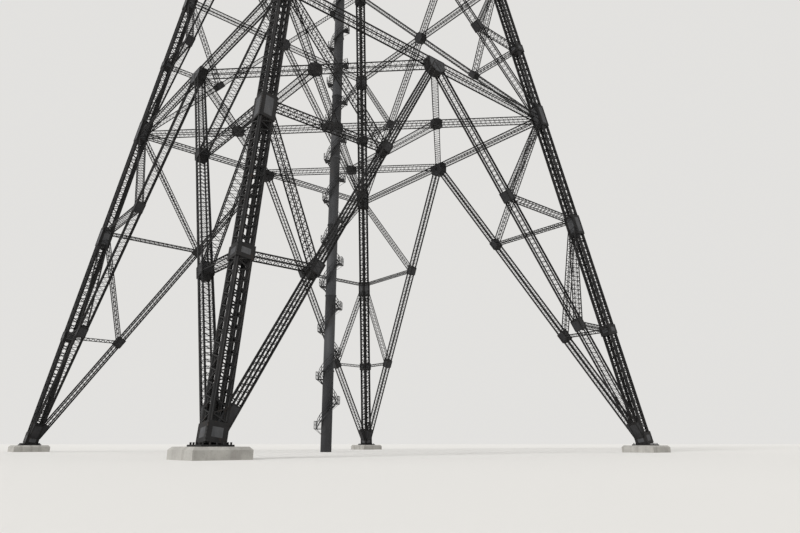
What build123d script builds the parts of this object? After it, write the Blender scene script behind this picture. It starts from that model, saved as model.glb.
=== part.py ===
"""Lattice transmission pylon of a river crossing, as a model at 1:10.

Sizes are in mm of the model, so 100 stands for one metre of the real pylon.
Origin at the middle of the base on the ground, +Z up, faces square to X and Y.
The line that the pylon carries runs along X, so the crossarms reach out along Y.
"""

import os
from math import cos, radians

from build123d import *

# Levels above the ground
PIER_TOP = 100
STRUT_LEVEL_LOW = 1833
STRUT_LEVEL_HIGH = 3666
RING_LEVEL = 5554
WAIST_LEVEL = 10390
SHOULDER_LEVEL = 19000
NECK_LEVEL = 29000
HEAD_LEVEL = 33500
PEAK_RISE = 1150

# Half the distance between leg centres
BASE_HALF = 3416
WAIST_HALF = 1764
SHOULDER_HALF = 1050
NECK_HALF = 550
HEAD_HALF = 400

PROFILE = (
    (0, BASE_HALF),
    (WAIST_LEVEL, WAIST_HALF),
    (SHOULDER_LEVEL, SHOULDER_HALF),
    (NECK_LEVEL, NECK_HALF),
    (HEAD_LEVEL, HEAD_HALF),
)

# Number of cross-braced panels in each length of the upper body
WAIST_PANELS = 3
SHOULDER_PANELS = 5
HEAD_PANELS = 5

# Concrete piers
PIER_SIDE = 500
PIER_CHAMFER = 25

# Lower legs: four chords laced into a box
LEG_WIDTH = 180
LEG_CHORD = 54
SHOE_TOP = 280
BASE_PLATE_SIDE = 280
BASE_PLATE_THICK = 15
SPLICE_RISE = 100

# How far the closed lengths of a leg reach below and above the joints
SHORT_REACH = 75
STRUT_REACH = 260
RING_REACH_DOWN = 150
RING_REACH_UP = 250
CROSS_REACH = 200

# Bracing of the base and of the section above it
MAIN_WIDTH = 130
MAIN_DEPTH = 115
MAIN_CHORD = 22
MAIN_ROOT = 380
RING_WIDTH = 120
RING_CHORD = 20
CROSS_WIDTH = 110
CROSS_CHORD = 20
CROSS_JOINT_WIDTH = 150
STRUT_WIDTH = 90
LEVEL_STRUT_WIDTH = 75
JOINT_LENGTH = 200
JOINT_WIDTH = 170
APEX_HALF = 175
APEX_REACH = 200
APEX_LIP = 8
OCTAGON_ACROSS = 246
BEAM_WIDTH = 110
QUARTER_BOX_SIDE = 210

# Lift shaft in the middle
SHAFT_DIAMETER = 170
SHAFT_STOP = 300
COLLAR_WIDTH = 35
COLLAR_HEIGHT = 110

# Stair around the shaft: two landings to a turn, each flight in two straight lengths
STAIR_TURN = 760
STAIR_START = 350
STAIR_WIDTH = 65
STAIR_THICK = 12
STAIR_GAP = 0.3
LANDING_REACH = 205
LANDING_HALF_ANGLE = 25
LANDING_THICK = 10
FIRST_LANDING_ANGLE = 135

# Upper body
UPPER_LEG = (130, 110, 80)
UPPER_BRACE = (70, 55, 40)
SLEEVE_EXTRA = 20
SLEEVE_LENGTH = 200
HEAD_CAP = 40

# Crossarms
ARM_REACH = (2200, 2600, 2000)
ARM_CHORD = 45
ARM_WEB = 25
ARM_BAYS = 3
ARM_TIP = 90
LUG_LENGTH = 90
LUG_THICK = 20
LUG_HOLE = 30

# Peaks that hold the earth wires
PEAK_REACH = 1200
PEAK_CHORD = 35
PEAK_SETBACK = 70
PEAK_BAYS = 2

SIDES = (
    ("front", "left", "right"),
    ("right", "front", "back"),
    ("back", "right", "left"),
    ("left", "back", "front"),
)
CORNERS = ("front_left", "front_right", "back_right", "back_left")
QUARTER_TURN = 90


def half_width(level):
    """Half the distance between leg centres at a level."""
    for (low, wide), (high, narrow) in zip(PROFILE, PROFILE[1:]):
        if level <= high:
            break
    return wide + (narrow - wide) * (level - low) / (high - low)


def on_front(across, level):
    """A point in the front face, at a distance from its middle and a level."""
    return Vector(across, -half_width(level), level)


def left_leg(level):
    """The front left leg's centre at a level."""
    return on_front(-half_width(level), level)


def front_normal(low, high):
    """The way the front face looks between two levels."""
    lean = (half_width(low) - half_width(high)) / (high - low)
    return Vector(0, -1, lean).normalized()


def bar(start, end, width, depth, normal):
    """A bar from start to end, its depth measured along the normal."""
    axis = end - start
    section = Plane(start, x_dir=normal.cross(axis), z_dir=axis)
    return extrude(section * Rectangle(width, depth), axis.length)


def chords(start, end, width, depth, chord, normal):
    """The four corner chords of a laced box member."""
    across = normal.cross(end - start).normalized() * ((width - chord) / 2)
    out = normal * ((depth - chord) / 2)
    shifts = (across + out, across - out, out - across, -across - out)
    return [bar(start + s, end + s, chord, chord, normal) for s in shifts]


def between(start, end, share):
    return start + (end - start) * share


def turned(shape, quarter):
    return Rot(0, 0, quarter * QUARTER_TURN) * shape


def slab(low, high):
    """Everything of the pylon between two levels, to trim with."""
    side = 3 * BASE_HALF
    return Pos(0, 0, low) * Box(side, side, high - low, align=(Align.CENTER, Align.CENTER, Align.MIN))


def save(shape, name):
    shape.label = name
    export_step(shape, f"parts/{name}.step")


os.makedirs("parts", exist_ok=True)

LOWER_NORMAL = front_normal(0, WAIST_LEVEL)
CROSS_SHARE = half_width(RING_LEVEL) / (half_width(RING_LEVEL) + WAIST_HALF)
CROSS_LEVEL = RING_LEVEL + (WAIST_LEVEL - RING_LEVEL) * CROSS_SHARE
MID_LEVEL = (RING_LEVEL + CROSS_LEVEL) / 2
SPLICE_LEVEL = WAIST_LEVEL + SPLICE_RISE
STEEL_LEVEL = PIER_TOP + BASE_PLATE_THICK
BASE_LEVEL = 0
PEAK_LEVEL = HEAD_LEVEL + PEAK_RISE
UP = Vector(0, 0, 1)

# Concrete piers, one under each leg
pier = Pos(-half_width(PIER_TOP), -half_width(PIER_TOP), 0) * Box(
    PIER_SIDE, PIER_SIDE, PIER_TOP, align=(Align.CENTER, Align.CENTER, Align.MIN)
)
pier = chamfer(pier.faces().sort_by(Axis.Z)[-1].edges(), PIER_CHAMFER)
save(Compound(children=[turned(pier, k) for k in range(4)]), "concrete_piers")

# Lower legs: base plate, plated shoe, then four chords with closed boxes at the joints
leg_axis = left_leg(WAIST_LEVEL) - left_leg(BASE_LEVEL)


def corner_normal(axis):
    """The way one side of a front left leg looks, square to its axis."""
    side = Vector(1, -1, 0).normalized()
    return (side + axis.cross(side).normalized()).normalized()


def corner_bar(start, end, width):
    """A square bar along the front left corner."""
    return bar(start, end, width, width, corner_normal(end - start))


def leg_length(level, below, above):
    """A closed length of the front left leg, about a level."""
    up = leg_axis.normalized()
    middle = left_leg(level)
    return corner_bar(middle - up * below, middle + up * above, LEG_WIDTH)


foot = left_leg(BASE_LEVEL)
crown = foot + leg_axis * (1 + 2 * SPLICE_RISE / WAIST_LEVEL)
leg_room = corner_bar(foot, crown, LEG_WIDTH)
leg_room_right = mirror(leg_room, Plane.YZ)
closed_lengths = [
    leg_length(BASE_LEVEL, 0, SHOE_TOP),
    leg_length(STRUT_LEVEL_LOW, SHORT_REACH, SHORT_REACH),
    leg_length(STRUT_LEVEL_HIGH, STRUT_REACH, SHORT_REACH),
    leg_length(RING_LEVEL, RING_REACH_DOWN, RING_REACH_UP),
    leg_length(MID_LEVEL, SHORT_REACH, SHORT_REACH),
    leg_length(CROSS_LEVEL, CROSS_REACH, SHORT_REACH),
    leg_length(WAIST_LEVEL, CROSS_REACH, 2 * SPLICE_RISE),
]
leg_chords = chords(foot, crown, LEG_WIDTH, LEG_WIDTH, LEG_CHORD, corner_normal(leg_axis))
leg = Part() + leg_chords + closed_lengths
leg = leg & slab(STEEL_LEVEL, SPLICE_LEVEL)
plate = Box(BASE_PLATE_SIDE, BASE_PLATE_SIDE, BASE_PLATE_THICK)
base_plate = Pos(*left_leg(PIER_TOP + BASE_PLATE_THICK / 2)) * plate
leg = leg + base_plate
for k, corner in enumerate(CORNERS):
    save(turned(leg, k), f"lower_leg_{corner}")

# Ring beams at the top of the base, with the gusset where two diagonals meet
ring_left = left_leg(RING_LEVEL)
ring_middle = on_front(0, RING_LEVEL)
ring_right = on_front(half_width(RING_LEVEL), RING_LEVEL)
main_foot = left_leg(PIER_TOP)
main_run = (main_foot - ring_middle).normalized()
main_across = LOWER_NORMAL.cross(main_run).normalized()
if main_across.X > 0:
    main_across = -main_across
upward = LOWER_NORMAL.cross(Vector(1, 0, 0)).normalized()
if upward.Z < 0:
    upward = -upward
apex_end = ring_middle + main_run * APEX_REACH
outer = apex_end + main_across * (MAIN_WIDTH / 2 + APEX_LIP)
inner = apex_end - main_across * (MAIN_WIDTH / 2 + APEX_LIP)
top_left = ring_middle + Vector(-APEX_HALF, 0, 0) + upward * (RING_WIDTH / 2)
low_left = ring_middle + Vector(-APEX_HALF, 0, 0) - upward * (RING_WIDTH / 2)
outline = [top_left, low_left, outer, inner]
outline += [Vector(-p.X, p.Y, p.Z) for p in reversed(outline)]
apex_face = Face(Wire.make_polygon([p - LOWER_NORMAL * (RING_WIDTH / 2) for p in outline]))
apex = Solid.extrude(apex_face, LOWER_NORMAL * RING_WIDTH)
ring_chords = chords(ring_left, ring_right, RING_WIDTH, RING_WIDTH, RING_CHORD, LOWER_NORMAL)
ring = Part() + ring_chords + [apex] - [leg_room, leg_room_right]
ring_room = Part() + bar(ring_left, ring_right, RING_WIDTH, RING_WIDTH, LOWER_NORMAL) + [apex]
for k, (side, _, _) in enumerate(SIDES):
    save(turned(ring, k), f"ring_beam_{side}")

# Base bracing: on each face two laced diagonals from the feet to the apex,
# each half with its four struts to the leg
def on_main(level):
    """The point of the left main diagonal at a level."""
    return between(main_foot, ring_middle, (level - PIER_TOP) / (RING_LEVEL - PIER_TOP))


def joint(point, run, width, depth):
    """A closed gusset box centred on a point of a laced member."""
    half = run.normalized() * (JOINT_LENGTH / 2)
    return bar(point - half, point + half, width, depth, LOWER_NORMAL)


low_joint = on_main(STRUT_LEVEL_LOW)
high_joint = on_main(STRUT_LEVEL_HIGH)
low_leg = left_leg(STRUT_LEVEL_LOW)
high_leg = left_leg(STRUT_LEVEL_HIGH)
struts = (
    (low_leg, low_joint, LEVEL_STRUT_WIDTH),
    (high_leg, low_joint, STRUT_WIDTH),
    (high_leg, high_joint, LEVEL_STRUT_WIDTH),
    (ring_left, high_joint, STRUT_WIDTH),
)
brace = Part() + chords(main_foot, ring_middle, MAIN_WIDTH, MAIN_DEPTH, MAIN_CHORD, LOWER_NORMAL)
brace += [joint(p, main_run, JOINT_WIDTH, MAIN_DEPTH) for p in (low_joint, high_joint)]
brace += [bar(main_foot, main_foot - main_run * MAIN_ROOT, MAIN_WIDTH, MAIN_DEPTH, LOWER_NORMAL)]
brace += [bar(a, b, width, width, LOWER_NORMAL) for a, b, width in struts]
brace = brace - [leg_room, ring_room, base_plate] & slab(STEEL_LEVEL, RING_LEVEL)
brace_mirror = mirror(brace, Plane.YZ)
for k, (side, first, second) in enumerate(SIDES):
    save(turned(brace, k), f"base_brace_{side}_{first}")
    save(turned(brace_mirror, k), f"base_brace_{side}_{second}")

# Section above the ring: on each face a large cross, with a beam through its
# crossing and struts from the middle of its lower arms
crossing = on_front(0, CROSS_LEVEL)
cross_leg = left_leg(CROSS_LEVEL)
waist_left = left_leg(WAIST_LEVEL)
waist_right = on_front(half_width(WAIST_LEVEL), WAIST_LEVEL)
mid_joint = between(ring_left, crossing, 1 / 2)
mid_leg = left_leg(MID_LEVEL)
octagon_face = Plane(crossing - LOWER_NORMAL * (RING_WIDTH / 2), x_dir=(1, 0, 0), z_dir=LOWER_NORMAL)
octagon = octagon_face * RegularPolygon(OCTAGON_ACROSS / 2, 8, major_radius=False)
crossing_plate = extrude(octagon, RING_WIDTH)
save(Compound(children=[turned(crossing_plate, k) for k in range(4)]), "crossing_gussets")

cross = Part() + chords(ring_left, crossing, CROSS_WIDTH, CROSS_WIDTH, CROSS_CHORD, LOWER_NORMAL)
cross += chords(crossing, waist_left, CROSS_WIDTH, CROSS_WIDTH, CROSS_CHORD, LOWER_NORMAL)
cross += chords(cross_leg, crossing, CROSS_WIDTH, CROSS_WIDTH, CROSS_CHORD, LOWER_NORMAL)
cross += [joint(mid_joint, crossing - ring_left, CROSS_JOINT_WIDTH, CROSS_WIDTH)]
cross += [bar(mid_leg, mid_joint, LEVEL_STRUT_WIDTH, LEVEL_STRUT_WIDTH, LOWER_NORMAL)]
cross += [bar(cross_leg, mid_joint, STRUT_WIDTH, STRUT_WIDTH, LOWER_NORMAL)]
cross = cross - [leg_room, ring_room, crossing_plate]
cross_mirror = mirror(cross, Plane.YZ)
for k, (side, first, second) in enumerate(SIDES):
    save(turned(cross, k), f"cross_brace_{side}_{first}")
    save(turned(cross_mirror, k), f"cross_brace_{side}_{second}")

# Lift shaft, and the collar around it where the ring's flat frame holds it
SHAFT_RADIUS = SHAFT_DIAMETER / 2
SHAFT_TOP = HEAD_LEVEL - SHAFT_STOP
shaft = Pos(0, 0, BASE_LEVEL) * Cylinder(
    SHAFT_RADIUS, SHAFT_TOP, align=(Align.CENTER, Align.CENTER, Align.MIN)
)
save(shaft, "lift_shaft")
collar_sketch = RegularPolygon(SHAFT_RADIUS + COLLAR_WIDTH, 8, major_radius=False)
collar = extrude(Plane.XY.offset(-COLLAR_HEIGHT / 2) * collar_sketch, COLLAR_HEIGHT) - shaft


def around(radius, angle, level):
    """A point around the shaft's axis."""
    return Vector(radius, 0, level).rotate(Axis.Z, angle)


# Flat frames inside the tower that hold the shaft
FRONT_LEFT_ANGLE = 225


def corner_beams(level, width):
    """Level beams from the shaft out to the four corners."""
    hub = around(SHAFT_RADIUS, FRONT_LEFT_ANGLE, level)
    corner = Vector(-half_width(level), -half_width(level), level)
    beam = bar(hub, corner, width, width, UP)
    return [turned(beam, k) for k in range(4)]


# At the ring they cross a diamond, and two more beams join the crossings
reach = half_width(RING_LEVEL)
side_middle = Vector(0, -reach, RING_LEVEL)
next_middle = Vector(-reach, 0, RING_LEVEL)
quarter_point = between(side_middle, next_middle, 1 / 2)
back_quarter = Vector(quarter_point.X, -quarter_point.Y, RING_LEVEL)
diamond = bar(side_middle, next_middle, BEAM_WIDTH, BEAM_WIDTH, UP)
quarter_box = Pos(*quarter_point) * Box(QUARTER_BOX_SIDE, QUARTER_BOX_SIDE, BEAM_WIDTH)
inner_beam = bar(quarter_point, back_quarter, BEAM_WIDTH, BEAM_WIDTH, UP)
ring_frame = Part() + corner_beams(RING_LEVEL, BEAM_WIDTH)
ring_frame += [turned(shape, k) for shape in (diamond, quarter_box) for k in range(4)]
ring_frame += [inner_beam, turned(inner_beam, 2), Pos(0, 0, RING_LEVEL) * collar]
rings = [turned(ring_room, k) for k in range(4)]
legs = [turned(leg_room, k) for k in range(4)]
crosses = [turned(half, k) for half in (cross, cross_mirror) for k in range(4)]
save(ring_frame - shaft - rings - legs - crosses, "ring_frame")

# Upper legs, with a sleeve at each change of slope
BREAKS = (WAIST_LEVEL, SHOULDER_LEVEL, NECK_LEVEL, HEAD_LEVEL)
upper_rooms = []
for low, high, width in zip(BREAKS, BREAKS[1:], UPPER_LEG):
    upper_rooms += [corner_bar(left_leg(low), left_leg(high), width)]
sleeve_widths = (UPPER_LEG[0], UPPER_LEG[0], UPPER_LEG[1], UPPER_LEG[2])
for level, width in zip(BREAKS, sleeve_widths):
    wide = width + SLEEVE_EXTRA
    upper_rooms += [Pos(*left_leg(level)) * Box(wide, wide, SLEEVE_LENGTH)]
upper_leg = Part() + upper_rooms & slab(SPLICE_LEVEL, HEAD_LEVEL + HEAD_CAP)
upper_leg_right = mirror(upper_leg, Plane.YZ)
for k, corner in enumerate(CORNERS):
    save(turned(upper_leg, k), f"upper_leg_{corner}")


# Upper body: crosses and horizontals on each face
def panel_levels(low, high, count):
    """Levels that divide a length into panels that shorten with its width."""
    widths = [half_width(low) + (half_width(high) - half_width(low)) * i / count for i in range(count)]
    total = sum(widths)
    return [low + (high - low) * sum(widths[:i]) / total for i in range(count + 1)]


def panels(low, high, count, width):
    """The crosses and the horizontals over them of one front face."""
    levels = panel_levels(low, high, count)
    normal = front_normal(low, high)
    bars = []
    for bottom, top in zip(levels, levels[1:]):
        for way in (-1, 1):
            start = on_front(way * half_width(bottom), bottom)
            bars += [bar(start, on_front(-way * half_width(top), top), width, width, normal)]
        bars += [bar(left_leg(top), on_front(half_width(top), top), width, width, normal)]
    return bars


lattice = Part() + panels(WAIST_LEVEL, SHOULDER_LEVEL, WAIST_PANELS, UPPER_BRACE[0])
lattice += panels(SHOULDER_LEVEL, NECK_LEVEL, SHOULDER_PANELS, UPPER_BRACE[1])
lattice += [bar(waist_left, waist_right, CROSS_WIDTH, CROSS_WIDTH, LOWER_NORMAL)]
lattice = lattice - [upper_leg, upper_leg_right, leg_room, leg_room_right, cross, cross_mirror]
head_side = Part() + panels(NECK_LEVEL, HEAD_LEVEL, HEAD_PANELS, UPPER_BRACE[2])
head_side = head_side - [upper_leg, upper_leg_right, lattice]
for k, (side, _, _) in enumerate(SIDES):
    save(turned(lattice, k), f"upper_lattice_{side}")
    save(turned(head_side, k), f"head_lattice_{side}")

UPPER_LEVELS = panel_levels(WAIST_LEVEL, SHOULDER_LEVEL, WAIST_PANELS)
UPPER_LEVELS += panel_levels(SHOULDER_LEVEL, NECK_LEVEL, SHOULDER_PANELS)[1:]
faces = [turned(lattice, k) for k in range(4)]
uppers = [turned(upper_leg, k) for k in range(4)]
frames = []
for level in UPPER_LEVELS:
    frame = Part() + corner_beams(level, UPPER_BRACE[1]) - faces - uppers - legs - crosses
    frames += frame.solids()
save(Compound(children=frames), "upper_frames")

# Stair around the shaft, up to the waist; landings lie on opposite sides in turn
HALF_TURN = 180


def landing(angle, level):
    """A flat plate on one side of the shaft, its inner edge along the tube."""
    ends = (angle - LANDING_HALF_ANGLE, angle + LANDING_HALF_ANGLE)
    inner = (SHAFT_RADIUS + STAIR_GAP) / cos(radians(LANDING_HALF_ANGLE))
    outer = LANDING_REACH / cos(radians(LANDING_HALF_ANGLE))
    corners = [around(inner, a, level) for a in ends]
    corners += [around(outer, a, level) for a in reversed(ends)]
    return Solid.extrude(Face(Wire.make_polygon(corners)), Vector(0, 0, LANDING_THICK))


def flight(angle, level):
    """Two straight lengths of stair from one landing round to the next."""
    sweep = HALF_TURN - 2 * LANDING_HALF_ANGLE
    rise = STAIR_TURN / 2
    middle = (SHAFT_RADIUS + STAIR_GAP + STAIR_WIDTH / 2) / cos(radians(sweep / 4))
    turns = [angle + LANDING_HALF_ANGLE + sweep * i / 2 for i in range(3)]
    points = [around(middle, a, level + rise * i / 2) for i, a in enumerate(turns)]
    return [bar(a, b, STAIR_WIDTH, STAIR_THICK, UP) for a, b in zip(points, points[1:])]


stair = []
step_up = STAIR_TURN / 2
count = int((WAIST_LEVEL - STAIR_START) / step_up)
for i in range(count):
    level = STAIR_START + step_up * i
    angle = FIRST_LANDING_ANGLE + HALF_TURN * i
    stair += [landing(angle, level)]
    if i < count - 1:
        stair += flight(angle, level)
stair = Part() + stair - [shaft, ring_frame]
save(stair, "shaft_stair")


# Crossarms: four chords that draw in to a tip, with webs on all four sides
HEAD_LEVELS = panel_levels(NECK_LEVEL, HEAD_LEVEL, HEAD_PANELS)


def lug(point):
    """An upright plate with a cross hole, that a shackle hangs from."""
    plate = Pos(*point) * Box(LUG_THICK, LUG_LENGTH, LUG_LENGTH)
    return plate - Pos(*point) * Rot(0, 90, 0) * Cylinder(LUG_HOLE / 2, 2 * LUG_THICK)


def flip(point):
    return Vector(-point.X, point.Y, point.Z)


def web_bar(start, end, width):
    """A square bar laid to whichever main axis it runs along least."""
    run = (end - start).normalized()
    mains = (Vector(1, 0, 0), Vector(0, 1, 0), UP)
    return bar(start, end, width, width, min(mains, key=lambda v: abs(v.dot(run))))


def arm(roots, tips, tip_middle, chord, web, bays):
    """An arm on the front from two roots and two tips on its left side."""
    lines = list(zip(roots, tips))
    lines += [(flip(a), flip(b)) for a, b in reversed(lines)]
    bars = [bar(a, b, chord, chord, UP) for a, b in lines]
    stations = [[between(a, b, i / bays) for a, b in lines] for i in range(bays)]
    for i in range(1, bays):
        for j in range(len(lines)):
            k = (j + 1) % len(lines)
            near, far = (j, k) if (i + j) % 2 else (k, j)
            bars += [web_bar(stations[i - 1][near], stations[i][far], web)]
    block = Pos(*tip_middle) * Box(2 * ARM_TIP, ARM_TIP, ARM_TIP)
    hanger = tip_middle - UP * ((ARM_TIP + LUG_LENGTH) / 2)
    return Part() + bars + [block, lug(hanger)]


heads = [turned(head_side, k) for k in range(4)] + uppers
arm_names = ("low", "middle", "high")
for i, (name, reach) in enumerate(zip(arm_names, ARM_REACH)):
    low, high = HEAD_LEVELS[2 * i], HEAD_LEVELS[2 * i + 1]
    tip = Vector(-ARM_TIP / 2, -reach, low)
    tip_middle = Vector(0, -reach, low)
    crossarm = arm((left_leg(low), left_leg(high)), (tip, tip), tip_middle, ARM_CHORD, ARM_WEB, ARM_BAYS)
    crossarm = crossarm - heads - faces
    save(crossarm, f"crossarm_{name}_front")
    save(turned(crossarm, 2), f"crossarm_{name}_back")

# Peaks on the head that hold the earth wires
peak_tip = Vector(0, -PEAK_REACH, PEAK_LEVEL - ARM_TIP / 2)
peak_root = left_leg(HEAD_LEVEL)
peak_back = Vector(peak_root.X, -PEAK_SETBACK, HEAD_LEVEL)
peak_tips = (peak_tip - Vector(ARM_TIP / 2, 0, 0),) * 2
peak = arm((peak_root, peak_back), peak_tips, peak_tip, PEAK_CHORD, ARM_WEB, PEAK_BAYS)
peak = (peak & slab(HEAD_LEVEL + UPPER_BRACE[2] / 2, PEAK_LEVEL)) - heads
save(peak, "earth_wire_peak_front")
save(turned(peak, 2), "earth_wire_peak_back")
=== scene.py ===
from math import cos, pi, radians, sin

import bmesh
import bpy
from mathutils import Matrix, Vector


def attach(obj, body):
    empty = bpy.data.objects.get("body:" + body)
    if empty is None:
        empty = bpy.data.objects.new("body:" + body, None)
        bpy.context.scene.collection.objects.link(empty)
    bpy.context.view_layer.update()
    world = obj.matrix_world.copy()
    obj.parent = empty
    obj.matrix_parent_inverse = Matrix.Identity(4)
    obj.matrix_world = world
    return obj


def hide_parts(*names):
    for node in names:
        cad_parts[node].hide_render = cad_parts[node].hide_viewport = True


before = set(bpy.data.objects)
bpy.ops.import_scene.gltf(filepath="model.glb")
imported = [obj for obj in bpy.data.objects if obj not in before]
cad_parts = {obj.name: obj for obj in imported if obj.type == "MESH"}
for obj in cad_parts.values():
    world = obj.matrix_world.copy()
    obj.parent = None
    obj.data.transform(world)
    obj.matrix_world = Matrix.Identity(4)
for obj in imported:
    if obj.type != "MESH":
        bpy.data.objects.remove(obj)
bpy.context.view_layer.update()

# Lower legs: on each corner four cruciform chords of riveted angles, tied into a square
# box by flat bars. Weathered painted steel, closed by bolted plates at the foot and
# wherever bracing comes in. Sizes are in metres of the model, a tenth of the real ones.
pier_top = 0.100
low_strut_level = 1.833
high_strut_level = 3.666
ring_level = 5.554
waist_level = 10.390
splice_over_waist = 0.100
splice_level = waist_level + splice_over_waist
base_half = 3.416
waist_half = 1.764
leg_width = 0.176
leg_chord = 0.048
leg_plate = 0.011
leg_pitch = 0.118
leg_lace = 0.0125
leg_cover = 0.004
leg_panel_rim = 0.044
short_reach = 0.075
long_reach = 0.200
shoe_top = 0.280
base_plate_side = 0.280
base_plate_thick = 0.015
base_plate_bevel = 0.002
anchor_inset = 0.022
anchor_rise = 0.008
anchor_radius = 0.009
anchor_height = 0.022
corners = ("front_left", "front_right", "back_right", "back_left")
sides = (
    ("front", "left", "right"),
    ("right", "front", "back"),
    ("back", "right", "left"),
    ("left", "back", "front"),
)


def half_width(level):
    """Half the distance between leg centres, up to the waist."""
    return base_half + (waist_half - base_half) * level / waist_level


def on_front(across, level):
    """A point in the lower front face."""
    return Vector((across, -half_width(level), level))


def left_leg(level):
    """The front left leg's centre at a level, up to the waist."""
    return on_front(-half_width(level), level)


def right_leg(level):
    """The front right leg's centre at a level, up to the waist."""
    return on_front(half_width(level), level)


cross_share = half_width(ring_level) / (half_width(ring_level) + waist_half)
cross_level = ring_level + (waist_level - ring_level) * cross_share
mid_level = (ring_level + cross_level) / 2
# The closed lengths of a leg: a level, and how far the plates reach below and above it.
leg_gussets = (
    (low_strut_level, short_reach, short_reach),
    (high_strut_level, 0.260, short_reach),
    (ring_level, 0.150, 0.250),
    (mid_level, short_reach, short_reach),
    (cross_level, long_reach, short_reach),
    (waist_level, long_reach, 0.095),
)


def feed(tree, socket, value):
    """Links a socket to another one, or sets it to a plain value."""
    if isinstance(value, bpy.types.NodeSocket):
        tree.links.new(value, socket)
    else:
        socket.default_value = value


def new_finish(name):
    """A new material and the node that holds its surface."""
    material = bpy.data.materials.new(name)
    material.use_nodes = True
    return material, material.node_tree.nodes["Principled BSDF"]


def shader(material, kind, **inputs):
    """A shader node with its inputs set or linked by name."""
    node = material.node_tree.nodes.new(kind)
    for name, value in inputs.items():
        feed(material.node_tree, node.inputs[name.replace("_", " ")], value)
    return node


def noise(material, place, scale, detail, roughness=0.5):
    """Soft random patches over a piece, as shares."""
    patches = shader(
        material, "ShaderNodeTexNoise", Vector=place, Scale=scale, Detail=detail, Roughness=roughness
    )
    return patches.outputs["Fac"]


def graded(material, value, stops):
    """A colour ramp between two stops, each a place and a grey or a colour."""
    ramp = shader(material, "ShaderNodeValToRGB", Fac=value)
    elements = ramp.color_ramp.elements
    for element, (place, colour) in zip(elements, stops):
        element.position = place
        element.color = (*colour, 1) if isinstance(colour, tuple) else (colour,) * 3 + (1,)
    return ramp.outputs["Color"]


def blended(material, share, under, over):
    """One colour laid over another by a share."""
    mix = material.node_tree.nodes.new("ShaderNodeMix")
    mix.data_type = "RGBA"
    for socket, value in ((mix.inputs[0], share), (mix.inputs[6], under), (mix.inputs[7], over)):
        feed(material.node_tree, socket, (*value, 1) if isinstance(value, tuple) else value)
    return mix.outputs[2]


def weathered(name, paint, bare, rust, patch, rusted=0.70):
    """Painted steel gone dull: older patches, run marks and a little rust."""
    material, surface = new_finish(name)
    place = shader(material, "ShaderNodeTexCoord").outputs["Object"]
    patches = noise(material, place, 1 / patch, 5, 0.6)
    narrow = (9 / patch, 9 / patch, 0.7 / patch)
    drawn = shader(material, "ShaderNodeMapping", Vector=place, Scale=narrow)
    runs = noise(material, drawn.outputs["Vector"], 1, 4)
    spots = noise(material, place, 7 / patch, 6, 0.7)
    worn = graded(material, patches, ((0.38, paint), (0.66, bare)))
    streak = graded(material, runs, ((0.45, 0.0), (0.75, 0.55)))
    rusty = graded(material, spots, ((0.58, 0.0), (0.74, rusted)))
    dulled = blended(material, streak, worn, tuple(c * 0.55 for c in paint))
    colour = blended(material, rusty, dulled, rust)
    material.node_tree.links.new(colour, surface.inputs["Base Color"])
    rough = shader(material, "ShaderNodeMapRange", Value=spots, To_Min=0.50, To_Max=0.75)
    material.node_tree.links.new(rough.outputs["Result"], surface.inputs["Roughness"])
    bump = shader(material, "ShaderNodeBump", Strength=0.25, Distance=0.002, Height=spots)
    material.node_tree.links.new(bump.outputs["Normal"], surface.inputs["Normal"])
    surface.inputs["Specular IOR Level"].default_value = 0.20
    return material


lattice_steel = weathered(
    "lattice_steel", (0.012, 0.012, 0.0125), (0.023, 0.022, 0.022), (0.052, 0.031, 0.021), 0.35
)
panel_steel = weathered(
    "panel_steel", (0.060, 0.062, 0.066), (0.092, 0.093, 0.097), (0.085, 0.060, 0.046), 0.25, rusted=0.40
)


def quarter_turn(quarter, size=4):
    """The turn by quarters about the tower's axis, as a matrix."""
    return Matrix.Rotation(quarter * pi / 2, size, "Z")


def corner_out(start, end):
    """The way one side of the front left leg looks, square to its run."""
    side = Vector((1, -1, 0)).normalized()
    return (side + (end - start).cross(side).normalized()).normalized()


def grow(tree, kind, **inputs):
    """A geometry node with its settings, and its inputs set or linked by name."""
    node = tree.nodes.new(kind)
    for name, value in inputs.items():
        if name.islower():
            setattr(node, name, value)
        else:
            feed(tree, node.inputs[name.replace("_", " ")], value)
    return node


def reckon(tree, kind, operation, *values):
    """The result of one sum, on numbers, vectors or truths."""
    node = grow(tree, kind, operation=operation)
    for socket, value in zip([s for s in node.inputs if s.enabled], values):
        feed(tree, socket, value)
    return node.outputs[0]


def numbers(tree, operation, *values):
    """The result of one sum on numbers."""
    return reckon(tree, "ShaderNodeMath", operation, *values)


def vectors(tree, operation, *values):
    """The result of one sum on vectors."""
    return reckon(tree, "ShaderNodeVectorMath", operation, *values)


def triple(tree, x=0.0, y=0.0, z=0.0):
    """A vector from three numbers or sockets."""
    return grow(tree, "ShaderNodeCombineXYZ", X=x, Y=y, Z=z).outputs[0]


def joined(tree, *parts):
    """Several geometries as one."""
    join = grow(tree, "GeometryNodeJoinGeometry")
    for part in parts:
        tree.links.new(part, join.inputs[0])
    return join.outputs[0]


def new_tree(name, *sizes):
    """A geometry tree with named inputs for sizes and for its steel."""
    tree = bpy.data.node_groups.new(name, "GeometryNodeTree")
    tree.interface.new_socket("Geometry", in_out="INPUT", socket_type="NodeSocketGeometry")
    for size in sizes:
        tree.interface.new_socket(size, in_out="INPUT", socket_type="NodeSocketFloat")
    tree.interface.new_socket("Steel", in_out="INPUT", socket_type="NodeSocketMaterial")
    tree.interface.new_socket("Geometry", in_out="OUTPUT", socket_type="NodeSocketGeometry")
    return tree, tree.nodes.new("NodeGroupInput").outputs


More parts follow.
